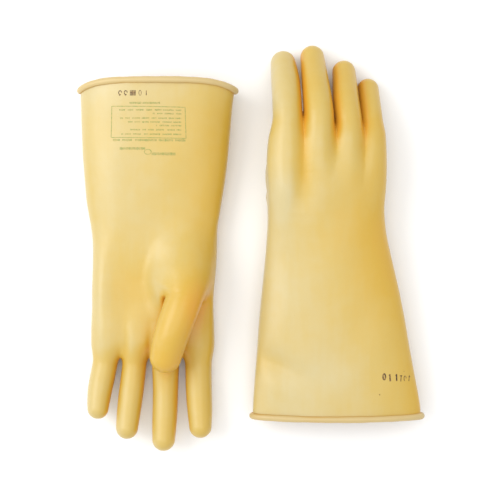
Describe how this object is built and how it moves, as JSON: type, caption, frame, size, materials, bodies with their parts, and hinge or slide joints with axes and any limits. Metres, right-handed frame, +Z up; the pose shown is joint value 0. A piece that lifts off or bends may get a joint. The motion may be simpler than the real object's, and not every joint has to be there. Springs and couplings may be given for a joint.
{
  "type": "electrical insulating gloves",
  "caption": "Pair of hollow rubber gauntlet gloves with flared cuffs and rolled beads, laid flat, one palm up and one palm down.",
  "frame": {"origin": "the middle of the pair's footprint, on the surface that it lies on", "axes": "+Z up; the gloves lie side by side along Y, the left-hand glove at low x with its fingers towards -Y, the right-hand glove at high x with its fingers towards +Y"},
  "size_m": [0.3468, 0.4064, 0.068],
  "materials": {
    "rubber_skin": "satin",
    "rolled_bead": "satin"
  },
  "bodies": {
    "left_gauntlet": {"left_cuff_bead": "rolled_bead", "left_gauntlet": "rubber_skin"},
    "left_hand": {"left_hand": "rubber_skin"},
    "left_index_finger": {"left_index_finger": "rubber_skin"},
    "left_little_finger": {"left_little_finger": "rubber_skin"},
    "left_middle_finger": {"left_middle_finger": "rubber_skin"},
    "left_ring_finger": {"left_ring_finger": "rubber_skin"},
    "left_thumb": {"left_thumb": "rubber_skin"},
    "right_gauntlet": {"right_cuff_bead": "rolled_bead", "right_gauntlet": "rubber_skin"},
    "right_hand": {"right_hand": "rubber_skin"},
    "right_index_finger": {"right_index_finger": "rubber_skin"},
    "right_little_finger": {"right_little_finger": "rubber_skin"},
    "right_middle_finger": {"right_middle_finger": "rubber_skin"},
    "right_ring_finger": {"right_ring_finger": "rubber_skin"},
    "right_thumb": {"right_thumb": "rubber_skin"}
  },
  "joints": [
    {"name": "right_glove_lift", "type": "slide", "parent": "left_gauntlet", "child": "right_gauntlet", "axis": [0, 0, 1], "range_m": [0, 0.25]},
    {"name": "left_wrist", "type": "hinge", "parent": "left_gauntlet", "child": "left_hand", "pos_m": [0.00065, 0.00715, 0.019], "axis": [-1, 0, 0], "range_deg": [-30, 40], "stiffness_Nm_per_rad": 1.5},
    {"name": "left_thumb_knuckle", "type": "hinge", "parent": "left_hand", "child": "left_thumb", "pos_m": [-0.07228, -0.06952, 0.0563], "axis": [-0.9406, 0.3394, 0], "range_deg": [0, 50], "stiffness_Nm_per_rad": 0.3},
    {"name": "left_index_knuckle", "type": "hinge", "parent": "left_hand", "child": "left_index_finger", "pos_m": [-0.053, -0.14033, 0.02041], "axis": [-0.9994, -0.0334, 0], "range_deg": [-10, 75], "stiffness_Nm_per_rad": 0.08},
    {"name": "left_middle_knuckle", "type": "hinge", "parent": "left_hand", "child": "left_middle_finger", "pos_m": [-0.08645, -0.14632, 0.02056], "axis": [-0.9999, 0.0109, 0], "range_deg": [-10, 75], "stiffness_Nm_per_rad": 0.08},
    {"name": "left_ring_knuckle", "type": "hinge", "parent": "left_hand", "child": "left_ring_finger", "pos_m": [-0.12039, -0.14114, 0.02014], "axis": [-0.9939, 0.1105, 0], "range_deg": [-10, 75], "stiffness_Nm_per_rad": 0.08},
    {"name": "left_little_knuckle", "type": "hinge", "parent": "left_hand", "child": "left_little_finger", "pos_m": [-0.14996, -0.13088, 0.02002], "axis": [-0.9849, 0.1731, 0], "range_deg": [-10, 75], "stiffness_Nm_per_rad": 0.08},
    {"name": "right_wrist", "type": "hinge", "parent": "right_gauntlet", "child": "right_hand", "pos_m": [0.00065, 0.02515, 0.0345], "axis": [-1, 0, 0], "range_deg": [-30, 40], "stiffness_Nm_per_rad": 1.5},
    {"name": "right_thumb_knuckle", "type": "hinge", "parent": "right_hand", "child": "right_thumb", "pos_m": [0.03186, 0.07573, 0.01321], "axis": [-0.9966, 0.0823, 0], "range_deg": [0, 50], "stiffness_Nm_per_rad": 0.3},
    {"name": "right_index_knuckle", "type": "hinge", "parent": "right_hand", "child": "right_index_finger", "pos_m": [0.0345, 0.14661, 0.03546], "axis": [-0.9995, -0.0315, 0], "range_deg": [-35, 40], "stiffness_Nm_per_rad": 0.08},
    {"name": "right_middle_knuckle", "type": "hinge", "parent": "right_hand", "child": "right_middle_finger", "pos_m": [0.06412, 0.15181, 0.03317], "axis": [-0.9984, -0.057, 0], "range_deg": [-35, 40], "stiffness_Nm_per_rad": 0.08},
    {"name": "right_ring_knuckle", "type": "hinge", "parent": "right_hand", "child": "right_ring_finger", "pos_m": [0.09449, 0.14292, 0.03029], "axis": [-0.9985, -0.0542, 0], "range_deg": [-35, 40], "stiffness_Nm_per_rad": 0.08},
    {"name": "right_little_knuckle", "type": "hinge", "parent": "right_hand", "child": "right_little_finger", "pos_m": [0.11907, 0.13215, 0.02449], "axis": [-0.9993, -0.0364, 0], "range_deg": [-35, 40], "stiffness_Nm_per_rad": 0.08}
  ]
}
